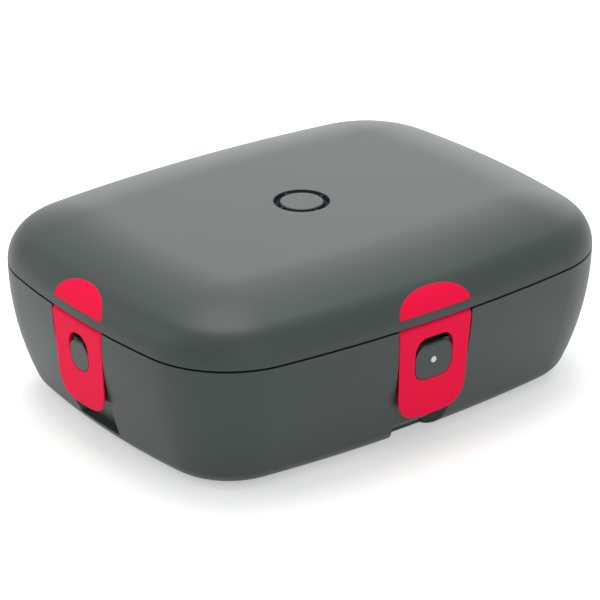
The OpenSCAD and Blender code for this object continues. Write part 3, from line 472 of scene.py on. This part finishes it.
def cutPockets(latch):
    s = latchSettings
    half = s["pocketSize"] / 2
    for x in (-s["earPlace"], s["earPlace"]):
        pocket = startPiece("pocket", "cube", size=1)
        place = moved(x, s["pocketBack"] + half, (s["pocketSize"] - s["pocketFoot"]) / 2)
        applyPlace(pocket, place @ Matrix.Diagonal((
            s["earPocket"] * mm, s["pocketSize"] * mm, (s["pocketSize"] + s["pocketFoot"]) * mm, 1)))
        combine(latch, pocket, "DIFFERENCE")
        combine(latch, pinRod("ear", s["earSteps"], s["earReach"], s["earPocket"], x), "DIFFERENCE")


def addLatch(side):
    s, place = latchSettings, latchSides[side]
    size = s[place["size"]]
    latch = startFlap("latch" + side.capitalize(), size)
    cutWindow(latch, size)
    softenRims(latch, size)
    addBarrel(latch, size)
    cutPockets(latch)
    bore = pinRod("bore", s["boreSteps"], s["bore"], size["top"] - 2 * s["boreEnd"])
    combine(latch, bore, "DIFFERENCE")
    pin = moved(0, s["pinIn"] - place["reach"], seamHeight - s["pinDrop"])
    applyPlace(latch, turned(place["turn"], "Z") @ pin @ turned(s["tilt"], "X"))
    softNormals(latch)
    handOver(latch, "latch_" + side)


for side in latchSides:
    addLatch(side)
print("stage: latches")


# a turned piece: a circle whose rim is drawn on from point to point of the profile
def turnedPiece(name, profile, steps=96, closed=True):
    radius, height = profile[0]
    piece = startPiece(name, "circle", vertices=steps, radius=radius * mm, location=(0, 0, height * mm))
    applyPlace(piece)
    editPiece(piece)
    bpy.ops.mesh.select_all(action="SELECT")
    for nextRadius, nextHeight in profile[1:] + (profile[:1] if closed else []):
        rise = (nextHeight - height) * mm
        bpy.ops.mesh.extrude_edges_move(TRANSFORM_OT_translate={"value": (0, 0, rise)})
        factor = nextRadius / radius
        bpy.ops.transform.resize(value=(factor, factor, 1), center_override=(0, 0, nextHeight * mm))
        radius, height = nextRadius, nextHeight
    onAll(bpy.ops.mesh.remove_doubles, threshold=2 * weld * mm)
    closeEdit()
    return piece


# vent: a dark ring with a groove and four bridges, round a soft-edged button on a stem
ventSettings = {
    "crown": 97.17, "lidWall": 2.5, "ceiling": 85, "linerThickness": 2,
    "sink": 0.1,  # ring and button end this far under the crown
    "ringRadius": 14.25, "cupRadius": 11.4, "cupWall": 1.6, "cupFloor": 1.5,
    "flange": 2.2, "flangeThickness": 1.6, "stemHole": 3.3,
    "rimSoftness": 0.1, "lipDrop": 0.15, "grooveLip": 0.3, "grooveDepth": 2.2,
    "grooveSlopeOut": 0.3, "grooveSlopeIn": 0.2,
    "bridges": 4, "bridgeWidth": 1.8, "bridgeDrop": 0.35, "bridgeSoftness": 0.25,
    "buttonRadius": 11.1, "buttonThickness": 2, "buttonEdge": 0.7, "edgeSteps": 6, "underEdge": 0.3,
    "stem": 3, "stemDrop": 3.6, "stemFillet": 0.5,
    "tipIn": 0.3, "neck": 2.2, "neckFoot": 0.7, "neckTop": 1.5,  # the neck that the clip sits in
    "pole": 0.01,  # radius of the pinhole that the circle leaves at the axis, at the button's two ends
}


def addVentRing():
    v = ventSettings
    top = v["crown"] - v["sink"]
    seat = v["crown"] - v["lidWall"] - v["sink"]
    foot = v["ceiling"] + v["linerThickness"]
    inner, outer, lip, rim = v["cupRadius"], v["ringRadius"], v["grooveLip"], v["rimSoftness"]
    cupOut, flangeOut = inner + v["cupWall"], outer + v["flange"]
    grooveTop, grooveFoot = top - v["lipDrop"], top - v["grooveDepth"]
    ring = turnedPiece("ventRing", [
        (v["stemHole"], foot), (cupOut, foot), (cupOut, seat - v["flangeThickness"]),
        (flangeOut, seat - v["flangeThickness"]), (flangeOut, seat), (outer, seat),
        (outer, top - rim), (outer - rim, top), (outer - lip, grooveTop),
        (outer - lip - v["grooveSlopeOut"], grooveFoot), (inner + lip + v["grooveSlopeIn"], grooveFoot),
        (inner + lip, grooveTop), (inner + rim, top), (inner, top - rim),
        (inner, foot + v["cupFloor"]), (v["stemHole"], foot + v["cupFloor"])])
    middle, height = (inner + outer) / 2, top - v["bridgeDrop"] - v["grooveDepth"] / 2
    stretch = Matrix.Diagonal((
        (outer - inner - lip) * mm, v["bridgeWidth"] * mm, v["grooveDepth"] * mm, 1))
    for number in range(v["bridges"]):
        bridge = startPiece("bridge", "cube", size=1)
        turn = turned(360 / v["bridges"] * number, "Z")
        applyPlace(bridge, turn @ moved(middle, 0, height) @ stretch)
        applyModifier(bridge, "BEVEL", width=v["bridgeSoftness"] * mm, segments=2)
        combine(ring, bridge, "UNION")
    softNormals(ring)
    handOver(ring, "vent_ring", "mattBlack")


def addVentButton():
    v = ventSettings
    top, radius, edge = v["crown"] - v["sink"], v["buttonRadius"], v["buttonEdge"]
    under, foot = top - v["buttonThickness"], v["ceiling"] - v["stemDrop"]
    stem, tip = v["stem"], v["tipIn"]
    angles = [math.radians(90 / v["edgeSteps"] * i) for i in range(v["edgeSteps"] + 1)]
    rim = [(radius - edge * (1 - math.cos(a)), top - edge * (1 - math.sin(a))) for a in angles]
    button = turnedPiece("ventButton", [
        (v["pole"], foot), (stem - 2 * tip, foot), (stem - tip, foot + tip),
        (stem - tip, foot + v["neckFoot"]), (v["neck"], foot + v["neckFoot"]),
        (v["neck"], foot + v["neckTop"]), (stem, foot + v["neckTop"]),
        (stem, under - v["stemFillet"]), (stem + v["stemFillet"], under),
        (radius - v["underEdge"], under), (radius, under + v["underEdge"]),
        *rim, (v["pole"], top)], closed=False)
    softNormals(button)
    handOver(button, "vent_button")


addVentRing()
addVentButton()
print("stage: vent")


# copies of the frame's own pieces: merged, smooth, and the moulded ones with softened edges
inlaySettings = {"softness": 0.4, "segments": 3}
shellSettings = {"softness": 0.2, "segments": 2}


def softCopy(name, node, softness=0, segments=1):
    piece = frame["nodes"][node].copy()
    piece.data = piece.data.copy()
    piece.name = name
    bpy.context.scene.collection.objects.link(piece)
    piece.hide_render = piece.hide_viewport = False
    editPiece(piece)
    onAll(bpy.ops.mesh.remove_doubles, threshold=weld * mm)
    bpy.ops.mesh.customdata_custom_splitnormals_clear()
    onAll(bpy.ops.mesh.dissolve_limited, angle_limit=math.radians(flatAngle))
    bpy.ops.object.mode_set(mode="OBJECT")
    if softness:
        applyModifier(
            piece, "BEVEL", width=softness * mm, segments=segments,
            limit_method="ANGLE", angle_limit=math.radians(sharpAngle))
    softNormals(piece)
    handOver(piece, node)
    return piece


for side in latchSides:
    softCopy("inlay" + side.capitalize(), "inlay_" + side, **inlaySettings)
softCopy("lidShell", "lid_shell", **shellSettings)
softCopy("baseShell", "base_shell", **shellSettings)
# the spring's copy is given a mesh of its own
spring = softCopy("ventSpring", "vent_spring")
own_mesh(spring)
print("stage: inlays, shells and spring")


# floor, backdrop and light, in metres and watts
stageSettings = {
    "floorSize": 12, "floorPaint": "#EDEDED",
    "floorGlow": 0.42,  # lifts the paint to the photo's white, only where it is seen
    "worldLight": 0.66, "worldSeen": 1.0,  # what the world gives the part, and what the eye gets
    "aim": (0, 0, 0.05),  # where every lamp points
    "lamps": {
        "topSoftbox": {"place": (0.1, 0.3, 1.8), "size": 1.2, "watts": 15},
        "sideSoftbox": {"place": (-1.4, 0.8, 0.9), "size": 1.2, "watts": 3.0},
        "frontSoftbox": {"place": (-0.3, -1.6, 0.7), "size": 1.0, "watts": 2.2},
        "backSoftbox": {"place": (1.4, 1.4, 0.75), "size": 2.0, "watts": 13},
    },
}


# 1 where the surface is seen, also by reflection or through something clear, 0 where it only gives light
def seenByEye(tree):
    rays = addNode(tree, "ShaderNodeLightPath").outputs
    seen = rays["Is Camera Ray"]
    for other in ("Is Glossy Ray", "Is Transmission Ray"):
        seen = addNode(tree, "ShaderNodeMath", {0: seen, 1: rays[other]}, operation="MAXIMUM").outputs[0]
    return seen


def addFloor():
    s = stageSettings
    floor = startPiece("studioFloor", "plane", size=s["floorSize"], location=(0, 0, 0))
    material, tree = newMaterial("paintedFloor")
    paint = addNode(tree, "ShaderNodeBsdfDiffuse", {"Color": toLinear(s["floorPaint"])})
    glow = addNode(tree, "ShaderNodeEmission", {"Color": (1, 1, 1, 1), "Strength": s["floorGlow"]})
    both = addNode(tree, "ShaderNodeAddShader", {0: paint.outputs[0], 1: glow.outputs[0]})
    shader = addNode(tree, "ShaderNodeMixShader", {
        0: seenByEye(tree), 1: paint.outputs[0], 2: both.outputs[0]})
    floor.data.materials.append(finishMaterial(material, tree, shader))


def addWorld():
    s = stageSettings
    world = bpy.data.worlds.new("studioWorld")
    world.use_nodes = True
    tree = world.node_tree
    tree.nodes.clear()
    light, seen = [
        addNode(tree, "ShaderNodeBackground", {"Color": (1, 1, 1, 1), "Strength": s[strength]})
        for strength in ("worldLight", "worldSeen")]
    mix = addNode(tree, "ShaderNodeMixShader", {
        0: seenByEye(tree), 1: light.outputs[0], 2: seen.outputs[0]})
    addNode(tree, "ShaderNodeOutputWorld", {"Surface": mix.outputs[0]})
    bpy.context.scene.world = world


def addLamp(name, place, size, watts):
    data = bpy.data.lights.new(name, "AREA")
    data.shape, data.size, data.energy = "DISK", size, watts
    aimAndLink(bpy.data.objects.new(name, data), place, stageSettings["aim"])


addFloor()
addWorld()
for name, lamp in stageSettings["lamps"].items():
    addLamp(name, **lamp)
bpy.context.scene.view_settings.view_transform = "Standard"
print("stage: floor and lights")
